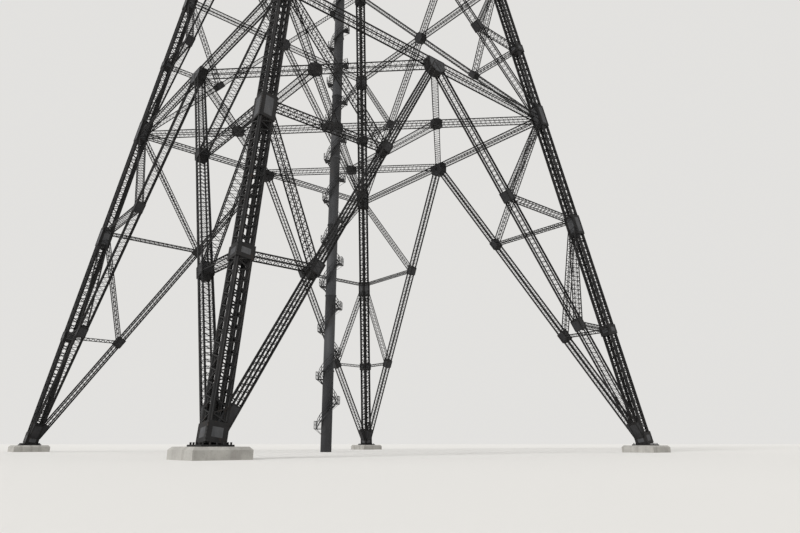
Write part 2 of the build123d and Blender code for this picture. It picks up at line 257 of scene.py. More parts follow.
def close_tree(tree, geometry, steel):
    """Realizes what the tree made, gives it its steel and sends it out."""
    real = grow(tree, "GeometryNodeRealizeInstances", Geometry=geometry)
    coated = grow(tree, "GeometryNodeSetMaterial", Geometry=real.outputs[0], Material=steel)
    tree.links.new(coated.outputs[0], tree.nodes.new("NodeGroupOutput").inputs[0])
    return tree


def out_of(tree):
    """The point attribute that says which way a member's depth is measured."""
    return grow(tree, "GeometryNodeInputNamedAttribute", data_type="FLOAT_VECTOR", Name="out").outputs[0]


def run_of(tree, given):
    """The given edges as curves that keep each member's outward side."""
    run = grow(tree, "GeometryNodeMeshToCurve", Mesh=given["Geometry"]).outputs[0]
    looking = grow(tree, "GeometryNodeSetCurveNormal", mode="FREE", Curve=run, Normal=out_of(tree))
    return looking.outputs[0]


def rectangle(tree, width, height):
    """A rectangular outline."""
    return grow(tree, "GeometryNodeCurvePrimitiveQuadrilateral", Width=width, Height=height).outputs[0]


def shifted(tree, outline, x, y):
    """An outline moved in its own plane."""
    move = triple(tree, x, y)
    return grow(tree, "GeometryNodeTransform", Geometry=outline, Translation=move).outputs[0]


def swept(tree, run, section):
    """A bar with closed ends, of one section along its run."""
    bar = grow(tree, "GeometryNodeCurveToMesh", Curve=run, Profile_Curve=section, Fill_Caps=True)
    return bar.outputs[0]


def angle_profile(tree, chord, plate, heel):
    """The section of a rolled angle; with heel 0 its legs cross in the middle."""
    shift = numbers(tree, "MULTIPLY", numbers(tree, "SUBTRACT", chord, plate), 0.5)
    shift = numbers(tree, "MULTIPLY", shift, heel)
    lap = numbers(tree, "MULTIPLY", plate, heel)
    drop = numbers(tree, "MULTIPLY", lap, -0.5)
    flange = shifted(tree, rectangle(tree, chord, plate), 0.0, shift)
    web = shifted(tree, rectangle(tree, plate, numbers(tree, "SUBTRACT", chord, lap)), shift, drop)
    return joined(tree, flange, web)


box_corners = ((1, 1), (-1, 1), (-1, -1), (1, -1))


def laced_box_tree():
    """Each edge becomes a box of four chords with V lacing on all its sides.

    Heel is 1 for chords of one angle, its heel outwards, and 0 for cruciform chords.
    """
    tree, given = new_tree("laced box", "Width", "Depth", "Chord", "Plate", "Pitch", "Lace", "Heel")
    width, depth, chord, pitch, lace = (given[n] for n in ("Width", "Depth", "Chord", "Pitch", "Lace"))
    out = out_of(tree)
    run = run_of(tree, given)
    tangent = grow(tree, "GeometryNodeInputTangent").outputs[0]
    across = vectors(tree, "CROSS_PRODUCT", out, tangent)
    half_across = numbers(tree, "MULTIPLY", numbers(tree, "SUBTRACT", width, chord), 0.5)
    half_out = numbers(tree, "MULTIPLY", numbers(tree, "SUBTRACT", depth, chord), 0.5)
    angle = angle_profile(tree, chord, given["Plate"], given["Heel"])
    bars = []
    for quarter, (way_across, way_out) in enumerate(box_corners):
        aside = vectors(tree, "SCALE", across, numbers(tree, "MULTIPLY", half_across, way_across))
        outward = vectors(tree, "SCALE", out, numbers(tree, "MULTIPLY", half_out, way_out))
        offset = vectors(tree, "ADD", aside, outward)
        moved = grow(tree, "GeometryNodeSetPosition", Geometry=run, Offset=offset).outputs[0]
        turned = grow(tree, "GeometryNodeTransform", Geometry=angle, Rotation=(0, 0, quarter * pi / 2))
        bars.append(swept(tree, moved, turned.outputs[0]))

    half_pitch = numbers(tree, "MULTIPLY", pitch, 0.5)
    thick = numbers(tree, "MULTIPLY", lace, 0.5)
    face_out = numbers(tree, "MULTIPLY", numbers(tree, "SUBTRACT", depth, thick), 0.5)
    face_across = numbers(tree, "MULTIPLY", numbers(tree, "SUBTRACT", width, thick), 0.5)
    back_across = numbers(tree, "MULTIPLY", half_across, -1.0)
    back_out = numbers(tree, "MULTIPLY", half_out, -1.0)
    lines = []
    for looks, low, high in (
        ((0, 1, 0), (back_across, face_out), (half_across, face_out)),
        ((1, 0, 0), (face_across, back_out), (face_across, half_out)),
    ):
        turn_back = triple(tree, *high, half_pitch)
        ends = ((triple(tree, *low, 0.0), turn_back), (turn_back, triple(tree, *low, pitch)))
        for start, end in ends:
            line = grow(tree, "GeometryNodeCurvePrimitiveLine", Start=start, End=end).outputs[0]
            line = grow(tree, "GeometryNodeSetCurveNormal", mode="FREE", Curve=line, Normal=looks)
            lines.append(line.outputs[0])
    strip = rectangle(tree, thick, lace)
    zigzag = joined(tree, *lines)
    near = grow(tree, "GeometryNodeCurveToMesh", Curve=zigzag, Profile_Curve=strip).outputs[0]
    far = grow(tree, "GeometryNodeTransform", Geometry=near, Rotation=(0, 0, pi)).outputs[0]
    spread = grow(tree, "GeometryNodeResampleCurve", mode="LENGTH", Curve=run, Length=pitch).outputs[0]
    length = grow(tree, "GeometryNodeSplineLength").outputs
    step = numbers(tree, "DIVIDE", length[0], numbers(tree, "SUBTRACT", length[1], 1.0))
    stretch = triple(tree, 1.0, 1.0, numbers(tree, "DIVIDE", step, pitch))
    last = grow(tree, "GeometryNodeCurveEndpointSelection", Start_Size=0, End_Size=1).outputs[0]
    turn = grow(tree, "FunctionNodeAxesToRotation", Primary_Axis=tangent, Secondary_Axis=across)
    bays = grow(
        tree, "GeometryNodeInstanceOnPoints", Points=spread, Instance=joined(tree, near, far),
        Selection=reckon(tree, "FunctionNodeBooleanMath", "NOT", last),
        Rotation=turn.outputs[0], Scale=stretch,
    )
    return close_tree(tree, joined(tree, *bars, bays.outputs[0]), given["Steel"])


def bolt_tree():
    """A hexagon head on each point, standing along the point's out."""
    tree, given = new_tree("bolt heads", "Radius", "Height")
    head = grow(
        tree, "GeometryNodeMeshCylinder", fill_type="NGON", Vertices=6, Radius=given["Radius"],
        Depth=given["Height"],
    )
    turn = grow(tree, "FunctionNodeAlignRotationToVector", axis="Z", Vector=out_of(tree))
    heads = grow(
        tree, "GeometryNodeInstanceOnPoints", Points=given["Geometry"], Instance=head.outputs[0],
        Rotation=turn.outputs[0],
    )
    return close_tree(tree, heads.outputs[0], given["Steel"])


laced_box = laced_box_tree()
bolt_heads = bolt_tree()


def placed(name, data):
    """A new object in the scene, made of the data."""
    thing = bpy.data.objects.new(name, data)
    bpy.context.scene.collection.objects.link(thing)
    return thing


def grown(tree, points, edges, outs, steel=lattice_steel, **sizes):
    """The plain mesh that a tree makes of points and edges."""
    seed = bpy.data.meshes.new("seed")
    seed.from_pydata(points, edges, [])
    looks = seed.attributes.new("out", "FLOAT_VECTOR", "POINT")
    looks.data.foreach_set("vector", [c for out in outs for c in out])
    holder = placed("seed", seed)
    modifier = holder.modifiers.new("grow", "NODES")
    modifier.node_group = tree
    sizes["Steel"] = steel
    for item in tree.interface.items_tree:
        if item.in_out == "INPUT" and item.name in sizes:
            modifier[item.identifier] = sizes[item.name]
    depsgraph = bpy.context.evaluated_depsgraph_get()
    mesh = bpy.data.meshes.new_from_object(holder.evaluated_get(depsgraph))
    bpy.data.objects.remove(holder)
    bpy.data.meshes.remove(seed)
    mesh.attributes.remove(mesh.attributes["out"])
    return mesh


def laced(members, width, depth, chord, plate, pitch, lace, heel=1.0):
    """A mesh of laced boxes, one for each start, end and outward direction."""
    points = [p for start, end, _ in members for p in (start, end)]
    edges = [(2 * i, 2 * i + 1) for i in range(len(members))]
    outs = [out for _, _, out in members for _ in range(2)]
    return grown(
        laced_box, points, edges, outs, Width=width, Depth=depth, Chord=chord, Plate=plate, Pitch=pitch,
        Lace=lace, Heel=heel,
    )


bolt_radius = 0.0045
bolt_height = 0.005
bolt_spacing = 0.030
bolt_edge = 0.010
plate_rim = 0.014
plate_relief = 0.003


def bolted(rows):
    """Bolt heads along rows, each a start, an end and the way the plate looks."""
    points, outs = [], []
    for start, end, out in rows:
        count = max(1, round((end - start).length / bolt_spacing))
        points += [start.lerp(end, (i + 0.5) / count) for i in range(count)]
        outs += [out] * count
    return grown(bolt_heads, points, [], outs, Radius=bolt_radius, Height=bolt_height)


def from_shell(shell, name, *steels):
    """A mesh of the shell's faces, with the steels that they number."""
    mesh = bpy.data.meshes.new(name)
    shell.to_mesh(mesh)
    shell.free()
    for steel in steels:
        mesh.materials.append(steel)
    return mesh


def band(shell, first, second):
    """The faces between two closed rings of corners."""
    count = len(first)
    return [
        shell.faces.new((first[i], first[(i + 1) % count], second[(i + 1) % count], second[i]))
        for i in range(count)
    ]


def sink_panels(shell, panels, rim):
    """Sinks the middle of each panel, inside a rim of the given width."""
    bmesh.ops.recalc_face_normals(shell, faces=shell.faces)
    bmesh.ops.inset_individual(
        shell, faces=panels, thickness=rim, depth=-plate_relief, use_even_offset=True
    )


def plated(lengths, rim=plate_rim, steel=panel_steel):
    """Closed plated boxes and their bolts, from starts, ends, widths, depths and outs."""
    shell = bmesh.new()
    rows, panels = [], []
    for start, end, width, depth, out in lengths:
        run = (end - start).normalized()
        across = out.cross(run).normalized()
        ring = [across * (a * width / 2) + out * (b * depth / 2) for a, b in box_corners]
        low = [shell.verts.new(start + r) for r in ring]
        high = [shell.verts.new(end + r) for r in ring]
        panels += band(shell, low, high)
        shell.faces.new(reversed(low))
        shell.faces.new(high)
        first, last = start + run * bolt_edge, end - run * bolt_edge
        for side, reach, other, spread in ((out, depth, across, width), (across, width, out, depth)):
            for way in (1, -1):
                for edge in (1, -1):
                    offset = side * (way * reach / 2) + other * (edge * (spread / 2 - bolt_edge))
                    rows.append((first + offset, last + offset, side * way))
    sink_panels(shell, panels, rim)
    for face in panels:
        face.material_index = 1
    return [from_shell(shell, "plated", lattice_steel, steel), bolted(rows)]


def built(name, meshes, quarter=0):
    """One object from several meshes, turned by quarters about the tower's axis."""
    whole = bmesh.new()
    steels = []
    for mesh in meshes:
        before = len(whole.faces)
        whole.from_mesh(mesh)
        whole.faces.ensure_lookup_table()
        places = {}
        for i, steel in enumerate(mesh.materials):
            if steel and steel not in steels:
                steels.append(steel)
            places[i] = steels.index(steel) if steel else 0
        for face in whole.faces[before:]:
            face.material_index = places[face.material_index]
    whole.transform(quarter_turn(quarter))
    return placed(name, from_shell(whole, name, *steels))


def stand_for(piece, node):
    """Puts a piece in the place of its solid, which it hides, and hangs the piece on the root body."""
    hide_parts(node)
    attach(piece, "root")


leg_foot = left_leg(pier_top + base_plate_thick)
leg_shoe = left_leg(shoe_top)
leg_head = left_leg(splice_level)
leg_out = corner_out(leg_foot, leg_head)
leg_up = (leg_head - leg_foot).normalized()
leg_meshes = [
    laced(
        [(leg_shoe - leg_up * leg_width, leg_head, leg_out)], leg_width, leg_width, leg_chord, leg_plate,
        leg_pitch, leg_lace, heel=0.0,
    )
]
cover_width = leg_width + 2 * leg_cover
leg_boxes = [(leg_foot, leg_shoe, cover_width, cover_width, leg_out)]
for level, below, above in leg_gussets:
    middle = left_leg(level)
    low, high = middle - leg_up * below, middle + leg_up * above
    leg_boxes.append((low, high, cover_width, cover_width, leg_out))
leg_meshes += plated(leg_boxes, rim=leg_panel_rim)
upward = Vector((0, 0, 1))
plate_foot = left_leg(pier_top)
shell = bmesh.new()
foot_plate = bmesh.ops.create_cube(shell, size=1)["verts"]
bmesh.ops.scale(shell, verts=foot_plate, vec=(base_plate_side, base_plate_side, base_plate_thick))
bmesh.ops.bevel(shell, geom=shell.edges, offset=base_plate_bevel, segments=1, affect="EDGES")
bmesh.ops.translate(shell, verts=shell.verts, vec=plate_foot + upward * (base_plate_thick / 2))
leg_meshes.append(from_shell(shell, "base plate", lattice_steel))
anchor_edge = base_plate_side / 2 - anchor_inset
anchor_top = plate_foot + upward * (base_plate_thick + anchor_rise)
anchors = [
    anchor_top + quarter_turn(side, 3) @ Vector((along, -anchor_edge, 0))
    for side in range(4)
    for along in (-anchor_edge, -anchor_edge / 2, 0, anchor_edge / 2)
]
leg_meshes.append(
    grown(bolt_heads, anchors, [], [upward] * len(anchors), Radius=anchor_radius, Height=anchor_height)
)
for quarter, corner in enumerate(corners):
    stand_for(built(f"leg_{corner}", leg_meshes, quarter), f"lower_leg_{corner}")

# Base bracing: on each face two great diagonals of laced angle steel run from the feet up
# to the middle of the ring beam. On each half, four lighter laced struts tie them to the
# leg, bolted to closed gusset boxes.
main_width = 0.094
main_depth = 0.132
main_chord = 0.020
main_plate = 0.006
main_pitch = 0.077
main_lace = 0.0050
main_foot_up = 0.150
main_root = 0.380
strut_width = 0.066
level_strut_width = 0.056
strut_depth = 0.120
strut_chord = 0.012
strut_plate = 0.0035
strut_pitch = 0.080
strut_lace = 0.0058
joint_length = 0.165
joint_width = 0.130
joint_depth = 0.136
front_out = Vector((0, -waist_level, base_half - waist_half)).normalized()
ring_middle = on_front(0, ring_level)
joint_steel = weathered(
    "joint_steel", (0.024, 0.024, 0.026), (0.040, 0.040, 0.042), (0.060, 0.038, 0.027), 0.25
)


def struts(ends, width):
    """Light laced struts in the front face between pairs of points."""
    return laced(
        [(a, b, front_out) for a, b in ends], width, strut_depth, strut_chord, strut_plate, strut_pitch,
        strut_lace,
    )


def joint_box(point, up, width):
    """A gusset box centred on a point of a laced member."""
    half = up * (joint_length / 2)
    return (point - half, point + half, width, joint_depth, front_out)


def base_half_face(leg):
    """Members and gussets between one leg of the front face and the ring's middle."""
    foot = leg(pier_top)
    low_joint = foot.lerp(ring_middle, (low_strut_level - pier_top) / (ring_level - pier_top))
    high_joint = foot.lerp(ring_middle, (high_strut_level - pier_top) / (ring_level - pier_top))
    up = (ring_middle - foot).normalized()
    low_leg, high_leg, ring_leg = (leg(z) for z in (low_strut_level, high_strut_level, ring_level))
    level_struts = struts(((low_leg, low_joint), (high_leg, high_joint)), level_strut_width)
    rising_struts = struts(((high_leg, low_joint), (ring_leg, high_joint)), strut_width)
    root = foot + up * main_root
    diagonal = laced(
        [(root, ring_middle, front_out)], main_width, main_depth, main_chord, main_plate, main_pitch,
        main_lace,
    )
    boxes = [(foot + up * main_foot_up, root, main_width, main_depth, front_out)]
    boxes += [joint_box(joint, up, joint_width) for joint in (low_joint, high_joint)]
    return [diagonal, level_struts, rising_struts] + plated(boxes, steel=joint_steel)


base_left, base_right = base_half_face(left_leg), base_half_face(right_leg)
for quarter, (side, first, second) in enumerate(sides):
    for half, end in ((base_left, first), (base_right, second)):
        stand_for(built(f"base_bracing_{side}_{end}", half, quarter), f"base_brace_{side}_{end}")

# Ring beams: at the top of the base, a beam of laced angle steel on each face. Its middle
# is a closed bolted gusset, a little deeper than the beam, that the face's two great
# diagonals run into. The gusset's outer plate is painted paler than its inner one, as
# painted light on the face that looks out.
ring_width = 0.096
ring_depth = 0.120
ring_chord = 0.016
ring_plate = 0.005
ring_pitch = 0.077
ring_lace = 0.0045
apex_half = 0.155
apex_reach = 0.180
apex_lip = 0.008
face_up = Vector((0, base_half - waist_half, waist_level)).normalized()
diagonal_down = (left_leg(pier_top) - ring_middle).normalized()
diagonal_left = diagonal_down.cross(front_out).normalized()


def gusset(outline, out, thick, outer=joint_steel):
    """A closed gusset, its two plates bolted along their edge.

    Its outline runs counterclockwise as seen from the side that out looks to.
    """
    shell = bmesh.new()
    near = [shell.verts.new(p + out * (thick / 2)) for p in outline]
    far = [shell.verts.new(p - out * (thick / 2)) for p in outline]
    band(shell, near, far)
    plates = [shell.faces.new(near), shell.faces.new(reversed(far))]
    sink_panels(shell, plates, plate_rim)
    # The outer plate can take a paler steel than the inner one, as painted light on the face that looks
    # out.
    plates[0].material_index = 1
    plates[1].material_index = 2
    rows = []
    for way in (1, -1):
        raised = out * (way * thick / 2)
        for a, b in zip(outline, outline[1:] + outline[:1]):
            along = (b - a).normalized() * (2 * bolt_edge)
            inward = out.cross(along).normalized() * bolt_edge
            rows.append((a + along + inward + raised, b - along + inward + raised, out * way))
    return [from_shell(shell, "gusset", lattice_steel, outer, joint_steel), bolted(rows)]


def mirrored(point):
    """The same point on the other side of the front face's middle."""
    return Vector((-point.x, point.y, point.z))


apex_foot = ring_middle + diagonal_down * apex_reach
apex_side = ring_middle + Vector((-apex_half, 0, 0))
apex_grip = main_width / 2 + apex_lip
apex_outline = [
    apex_side + face_up * (ring_width / 2),
    apex_side - face_up * (ring_width / 2),
    apex_foot + diagonal_left * apex_grip,
    apex_foot - diagonal_left * apex_grip,
]
apex_outline += [mirrored(p) for p in reversed(apex_outline)]
# The apex gusset's outer plate takes the paler panel steel: painted light on its outward face.
ring_meshes = [
    laced(
        [(left_leg(ring_level), right_leg(ring_level), front_out)], ring_width, ring_depth, ring_chord,
        ring_plate, ring_pitch, ring_lace,
    )
] + gusset(apex_outline, front_out, joint_depth, outer=panel_steel)
for quarter, (side, _, _) in enumerate(sides):
    stand_for(built(f"ring_{side}", ring_meshes, quarter), f"ring_beam_{side}")

# Bracing above the ring: on each face a large cross of laced angle steel, a beam through
# its crossing and two struts to each leg. Bolted plates close the crossing as an octagon.
cross_width = 0.082
cross_depth = 0.126
cross_chord = 0.015
cross_plate = 0.005
cross_pitch = 0.076
cross_lace = 0.0045
cross_joint_width = 0.118
octagon_across = 0.220
crossing = on_front(0, cross_level)


def cross_members(ends):
    """Laced members of the cross in the front face between pairs of points."""
    return laced(
        [(a, b, front_out) for a, b in ends], cross_width, cross_depth, cross_chord, cross_plate,
        cross_pitch, cross_lace,
    )


def cross_half_face(leg):
    """The half of the front face's cross that meets one leg."""
    ring_leg, mid_leg = leg(ring_level), leg(mid_level)
    cross_leg, waist_leg = leg(cross_level), leg(waist_level)
    mid_joint = ring_leg.lerp(crossing, 1 / 2)
    arms = cross_members(((ring_leg, crossing), (crossing, waist_leg), (cross_leg, crossing)))
    level_strut = struts(((mid_leg, mid_joint),), level_strut_width)
    rising_strut = struts(((cross_leg, mid_joint),), strut_width)
    box = joint_box(mid_joint, (crossing - ring_leg).normalized(), cross_joint_width)
    return [arms, level_strut, rising_strut] + plated([box], steel=joint_steel)


cross_left, cross_right = cross_half_face(left_leg), cross_half_face(right_leg)
for quarter, (side, first, second) in enumerate(sides):
    for half, end in ((cross_left, first), (cross_right, second)):
        stand_for(built(f"cross_bracing_{side}_{end}", half, quarter), f"cross_brace_{side}_{end}")


def octagon(middle, reach, ahead, aside):
    """Corners of an octagon, given the distance from its middle to its flats."""
    corner = reach / cos(pi / 8)
    turns = [pi / 8 + i * pi / 4 for i in range(8)]
    return [middle + ahead * (corner * cos(t)) + aside * (corner * sin(t)) for t in turns]


crossing_outline = octagon(crossing, octagon_across / 2, Vector((1, 0, 0)), face_up)
crossing_front = gusset(crossing_outline, front_out, joint_depth)


def turned_copies(meshes):
    """The meshes on all four sides of the tower."""
    copies = []
    for quarter in range(4):
        for mesh in meshes:
            copy = mesh.copy()
            copy.transform(quarter_turn(quarter))
            copies.append(copy)
    return copies


stand_for(built("crossing_plates", turned_copies(crossing_front)), "crossing_gussets")

# Lift shaft: a rolled steel tube in flanged lengths, painted a bluer grey than the
# lattice, that carries the lift up through the middle of the tower.
shaft_radius = 0.085
shaft_top = 33.2
shaft_length = 1.235
flange_lip = 0.010
flange_height = 0.007
flange_bolts = 20
nut_rise = 0.002
nut_radius = 0.003
nut_height = 0.006
shaft_sides = 40
shaft_steel = weathered(
    "shaft_steel", (0.050, 0.051, 0.054), (0.078, 0.079, 0.083), (0.10, 0.075, 0.06), 0.9, rusted=0.30
)


def around(radius, turn, level):
    """A point around the shaft's axis."""
    return Vector((radius * cos(turn), radius * sin(turn), level))


shaft_outline = [(shaft_radius, 0)]
flange_levels = []
level = shaft_length
while level < shaft_top - shaft_length / 2:
    flange_levels.append(level)
    for radius, height in ((0, -1), (flange_lip, -1), (flange_lip, 1), (0, 1)):
        shaft_outline.append((shaft_radius + radius, level + height * flange_height))
    level += shaft_length
shaft_outline.append((shaft_radius, shaft_top))
shell = bmesh.new()
rings = [
    [shell.verts.new(around(radius, 2 * pi * i / shaft_sides, level)) for i in range(shaft_sides)]
    for radius, level in shaft_outline
]
for i, (low, high) in enumerate(zip(rings, rings[1:])):
    upright = shaft_outline[i][0] == shaft_outline[i + 1][0]
    for face in band(shell, low, high):
        face.smooth = upright
for ring, level in ((rings[0][::-1], 0), (rings[-1], shaft_top)):
    centre = shell.verts.new((0, 0, level))
    for i, corner in enumerate(ring):
        shell.faces.new((corner, ring[(i + 1) % shaft_sides], centre))
shaft_mesh = from_shell(shell, "shaft", shaft_steel)
flange_ring = shaft_radius + flange_lip / 2
nuts = [
    around(flange_ring, 2 * pi * i / flange_bolts, level + way * (flange_height + nut_rise))
    for level in flange_levels
    for way in (1, -1)
    for i in range(flange_bolts)
]
nut_mesh = grown(
    bolt_heads, nuts, [], [upward] * len(nuts), steel=shaft_steel, Radius=nut_radius, Height=nut_height
)
stand_for(built("shaft", [shaft_mesh, nut_mesh]), "lift_shaft")

# Flat frame at the ring: beams of laced angle steel from the corners to a collar that
# steadies the shaft. They cross a diamond of beams between the middles of the faces, in
# closed bolted gussets that two more beams join.
beam_width = 0.110
beam_chord = 0.013
beam_plate = 0.004
beam_pitch = 0.080
beam_lace = 0.0040
collar_width = 0.035
collar_height = 0.110
quarter_reach = 0.105
hub_turn = radians(225)


def flat_beams(members):
    """Level laced beams between pairs of points."""
    return laced(
        [(a, b, upward) for a, b in members], beam_width, beam_width, beam_chord, beam_plate, beam_pitch,
        beam_lace,
    )


def flat_octagon(middle, reach):
    """Corners of a level octagon."""
    return octagon(middle, reach, Vector((1, 0, 0)), Vector((0, 1, 0)))


frame_reach = half_width(ring_level)
frame_middle = Vector((0, 0, ring_level))
side_middle = frame_middle + Vector((0, -frame_reach, 0))
next_middle = frame_middle + Vector((-frame_reach, 0, 0))
quarter_point = side_middle.lerp(next_middle, 1 / 2)
hub = around(shaft_radius + collar_width / 2, hub_turn, ring_level)
quarter_meshes = [flat_beams([(hub, left_leg(ring_level)), (side_middle, next_middle)])]
quarter_meshes += gusset(flat_octagon(quarter_point, quarter_reach), upward, beam_width)
inner_beams = flat_beams(
    [
        (Vector((x, -quarter_point.y, ring_level)), Vector((x, quarter_point.y, ring_level)))
        for x in (quarter_point.x, -quarter_point.x)
    ]
)
collar = gusset(flat_octagon(frame_middle, shaft_radius + collar_width), upward, collar_height)
ring_frame_piece = built("ring_flat_frame", turned_copies(quarter_meshes) + [inner_beams] + collar)
stand_for(ring_frame_piece, "ring_frame")

# Stair: steel treads and landings wound around the shaft, a whole turn every 7.6 m at full
# size, with posts and rails of square bar. Brackets welded to the shaft carry it.
stair_turn = 0.760
first_landing_level = 0.350
first_landing_turn = radians(135)
landing_half_turn = radians(25)
landing_reach = 0.200
landing_thick = 0.012
landing_steps = 4
bracket_drop = 0.090
stair_inner = shaft_radius + 0.002
stair_outer = shaft_radius + 0.072
tread_count = 17
tread_thick = 0.003
tread_depth = 0.026
string_thick = 0.004
string_depth = 0.030
string_rise = 0.012
string_steps = 8
rail_height = 0.110
rail_thick = 0.007
rail_start = 0.45


def plain_bar_tree():
    """A square bar along each line of edges."""
    tree, given = new_tree("plain bar", "Width")
    bar = swept(tree, run_of(tree, given), rectangle(tree, given["Width"], given["Width"]))
    return close_tree(tree, bar, given["Steel"])


plain_bar = plain_bar_tree()


def strip_between(shell, near, far, drop):
    """A flat plate between two lines of points, with a thickness."""
    down = Vector((0, 0, -drop))
    top_near, top_far = ([shell.verts.new(p) for p in line] for line in (near, far))
    low_near, low_far = ([shell.verts.new(p + down) for p in line] for line in (near, far))
    for i in range(len(near) - 1):
        j = i + 1
        shell.faces.new((top_near[i], top_near[j], top_far[j], top_far[i]))
        shell.faces.new((low_near[i], low_far[i], low_far[j], low_near[j]))
        shell.faces.new((top_far[i], top_far[j], low_far[j], low_far[i]))
        shell.faces.new((top_near[i], low_near[i], low_near[j], top_near[j]))
    for end in (0, -1):
        shell.faces.new((top_near[end], top_far[end], low_far[end], low_near[end]))


def stair_meshes():
    """Landings, treads, strings, posts and rails from the ground to the shaft's top."""
    shell = bmesh.new()
    rail_points, rail_edges, rail_outs = [], [], []

    def rail(points):
        """A square bar through the points, one side of it facing the shaft."""
        first = len(rail_points)
        rail_points.extend(points)
        rail_edges.extend((first + i, first + i + 1) for i in range(len(points) - 1))
        rail_outs.extend(Vector((p.x, p.y, 0)).normalized() for p in points)

    half_rise = stair_turn / 2
    sweep = pi - 2 * landing_half_turn
    tread_half_turn = tread_depth / 2 / stair_outer
    landing_count = int((shaft_top - rail_height - first_landing_level) / half_rise)
    for i in range(landing_count):
        level = first_landing_level + half_rise * i
        turn = first_landing_turn + pi * i
        shares = [2 * k / landing_steps - 1 for k in range(landing_steps + 1)]
        turns = [turn + landing_half_turn * share for share in shares]
        inner = [around(stair_inner, t, level) for t in turns]
        outer = [around(landing_reach / cos(t - turn) * cos(landing_half_turn), t, level) for t in turns]
        strip_between(shell, inner, outer, landing_thick)
        guard = [inner[0].lerp(outer[0], rail_start), outer[0]]
        guard += [outer[-1], inner[-1].lerp(outer[-1], rail_start)]
        for height in (rail_height, rail_height / 2):
            rail([point + upward * height for point in guard])
        for post in (outer[0], outer[landing_steps // 2], outer[-1]):
            rail([post, post + upward * rail_height])
        for edge in (outer[0], outer[-1]):
            foot = Vector((edge.x, edge.y, 0)).normalized() * stair_inner
            rail([edge, Vector((foot.x, foot.y, level - bracket_drop))])
        if i == landing_count - 1:
            break
        for k in range(tread_count):
            t = turn + landing_half_turn + sweep * (k + 0.5) / tread_count
            z = level + half_rise * (k + 1) / (tread_count + 1)
            ends = (t - tread_half_turn, t + tread_half_turn)
            near = [around(stair_inner, end, z) for end in ends]
            far = [around(stair_outer, end, z) for end in ends]
            strip_between(shell, near, far, tread_thick)
        line = [
            (turn + landing_half_turn + sweep * k / string_steps, level + half_rise * k / string_steps)
            for k in range(string_steps + 1)
        ]
        near = [around(stair_outer - string_thick, t, z + string_rise) for t, z in line]
        far = [around(stair_outer, t, z + string_rise) for t, z in line]
        strip_between(shell, near, far, string_depth)
        for height in (rail_height, rail_height / 2):
            rail([around(stair_outer, t, z + height) for t, z in line])
        for t, z in line[::2]:
            post = around(stair_outer, t, z)
            rail([post, post + upward * rail_height])
    bmesh.ops.recalc_face_normals(shell, faces=shell.faces)
    bars = grown(plain_bar, rail_points, rail_edges, rail_outs, steel=joint_steel, Width=rail_thick)
    return [from_shell(shell, "stair", joint_steel), bars]


stand_for(built("stair", stair_meshes()), "shaft_stair")

# Concrete piers: one block of plain concrete under each leg, cast in place, its top edge
# chamfered and its sides streaked by the weather.
pier_side = 0.500
pier_chamfer = 0.025
plan_corners = ((-1, -1), (1, -1), (1, 1), (-1, 1))


def cast_concrete():
    """Grey concrete with formwork marks, stains and small pits."""
    material, surface = new_finish("cast_concrete")
    place = shader(material, "ShaderNodeTexCoord").outputs["Object"]
    clouds = noise(material, place, 5, 6, 0.65)
    grain = noise(material, place, 90, 4)
    drawn = shader(material, "ShaderNodeMapping", Vector=place, Scale=(14, 14, 1.5))
    runs = noise(material, drawn.outputs["Vector"], 1, 5)
    dark, pale = (0.33, 0.32, 0.30), (0.46, 0.45, 0.42)
    tone = graded(material, clouds, ((0.35, dark), (0.68, pale)))
    streak = graded(material, runs, ((0.50, 0.0), (0.72, 0.6)))
    stained = blended(material, streak, tone, (0.20, 0.185, 0.165))
    pits = graded(material, grain, ((0.58, 0.0), (0.70, 0.5)))
    colour = blended(material, pits, stained, (0.24, 0.23, 0.21))
    material.node_tree.links.new(colour, surface.inputs["Base Color"])
    surface.inputs["Roughness"].default_value = 0.88
    bump = shader(material, "ShaderNodeBump", Strength=0.4, Distance=0.003, Height=grain)
    material.node_tree.links.new(bump.outputs["Normal"], surface.inputs["Normal"])
    return material


shell = bmesh.new()
pier_place = half_width(pier_top)
pier_outline = (
    (pier_side / 2, 0),
    (pier_side / 2, pier_top - pier_chamfer),
    (pier_side / 2 - pier_chamfer, pier_top),
)
for x, y in plan_corners:
    middle = Vector((x * pier_place, y * pier_place, 0))
    rings = [
        [shell.verts.new(middle + Vector((a * half, b * half, z))) for a, b in plan_corners]
        for half, z in pier_outline
    ]
    for low, high in zip(rings, rings[1:]):
        band(shell, low, high)
    shell.faces.new(reversed(rings[0]))
    shell.faces.new(rings[-1])
stand_for(built("piers", [from_shell(shell, "piers", cast_concrete())]), "concrete_piers")

# Upper legs: the four legs go on as slimmer laced boxes of angle steel, spliced inside a
# closed bolted sleeve at each change of slope.
shoulder_level = 19.000
neck_level = 29.000
head_level = 33.500
shoulder_half = 1.050
neck_half = 0.550
head_half = 0.400
profile_above = (
    (waist_level, waist_half),
    (shoulder_level, shoulder_half),
    (neck_level, neck_half),
    (head_level, head_half),
)
upper_widths = (0.130, 0.110, 0.080)
upper_chord_share = 0.24
upper_plate = 0.008
upper_pitch_share = 0.95
upper_lace_share = 0.07
sleeve_extra = 0.020
sleeve_length = 0.200
head_cap = 0.040


def half_above(level):
    """Half the distance between leg centres, above the waist."""
    for (low, wide), (high, narrow) in zip(profile_above, profile_above[1:]):
        if level <= high:
            break
    return wide + (narrow - wide) * (level - low) / (high - low)


def upper_point(across, level):
    """A point in the front face above the waist."""
    return Vector((across, -half_above(level), level))


def upper_left(level):
    """The front left leg's centre at a level, above the waist."""
    return upper_point(-half_above(level), level)


upper_leg_meshes = []
sleeves = []
breaks = [level for level, _ in profile_above]
for low, high, width in zip(breaks, breaks[1:], upper_widths):
    start, end = upper_left(low), upper_left(high)
    out = corner_out(start, end)
    upper_leg_meshes.append(
        laced(
            [(start, end, out)], width, width, width * upper_chord_share, upper_plate,
            width * upper_pitch_share, width * upper_lace_share,
        )
    )
